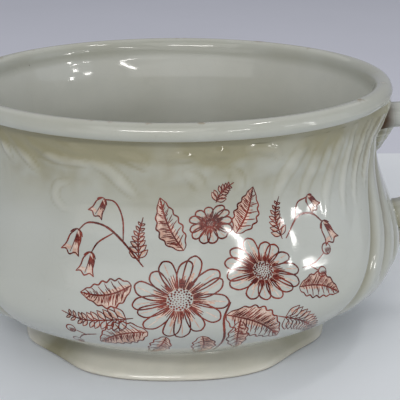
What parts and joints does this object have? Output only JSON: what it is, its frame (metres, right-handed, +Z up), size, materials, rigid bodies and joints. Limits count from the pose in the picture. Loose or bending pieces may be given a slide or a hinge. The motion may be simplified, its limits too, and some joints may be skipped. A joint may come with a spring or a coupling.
{
  "type": "chamber pot",
  "caption": "White glazed chamber pot: waisted moulded bowl with flared and rolled rim, ear-shaped side handle and flared, lobed foot, open at the top.",
  "frame": {"origin": "centre of the foot's underside, on the bowl's axis, at the height of the surface it stands on", "axes": "+Z up along the bowl's axis; +X towards the handle; the front panel faces -Y"},
  "size_m": [0.29, 0.244, 0.139],
  "materials": {
    "glazed_body": "gloss"
  },
  "bodies": {
    "root": {"front_wall": "glazed_body", "back_wall": "glazed_body", "floor": "glazed_body", "foot_ring": "glazed_body", "rim_roll": "glazed_body", "handle": "glazed_body", "upper_leaf": "glazed_body", "lower_leaf": "glazed_body"}
  },
  "joints": []
}
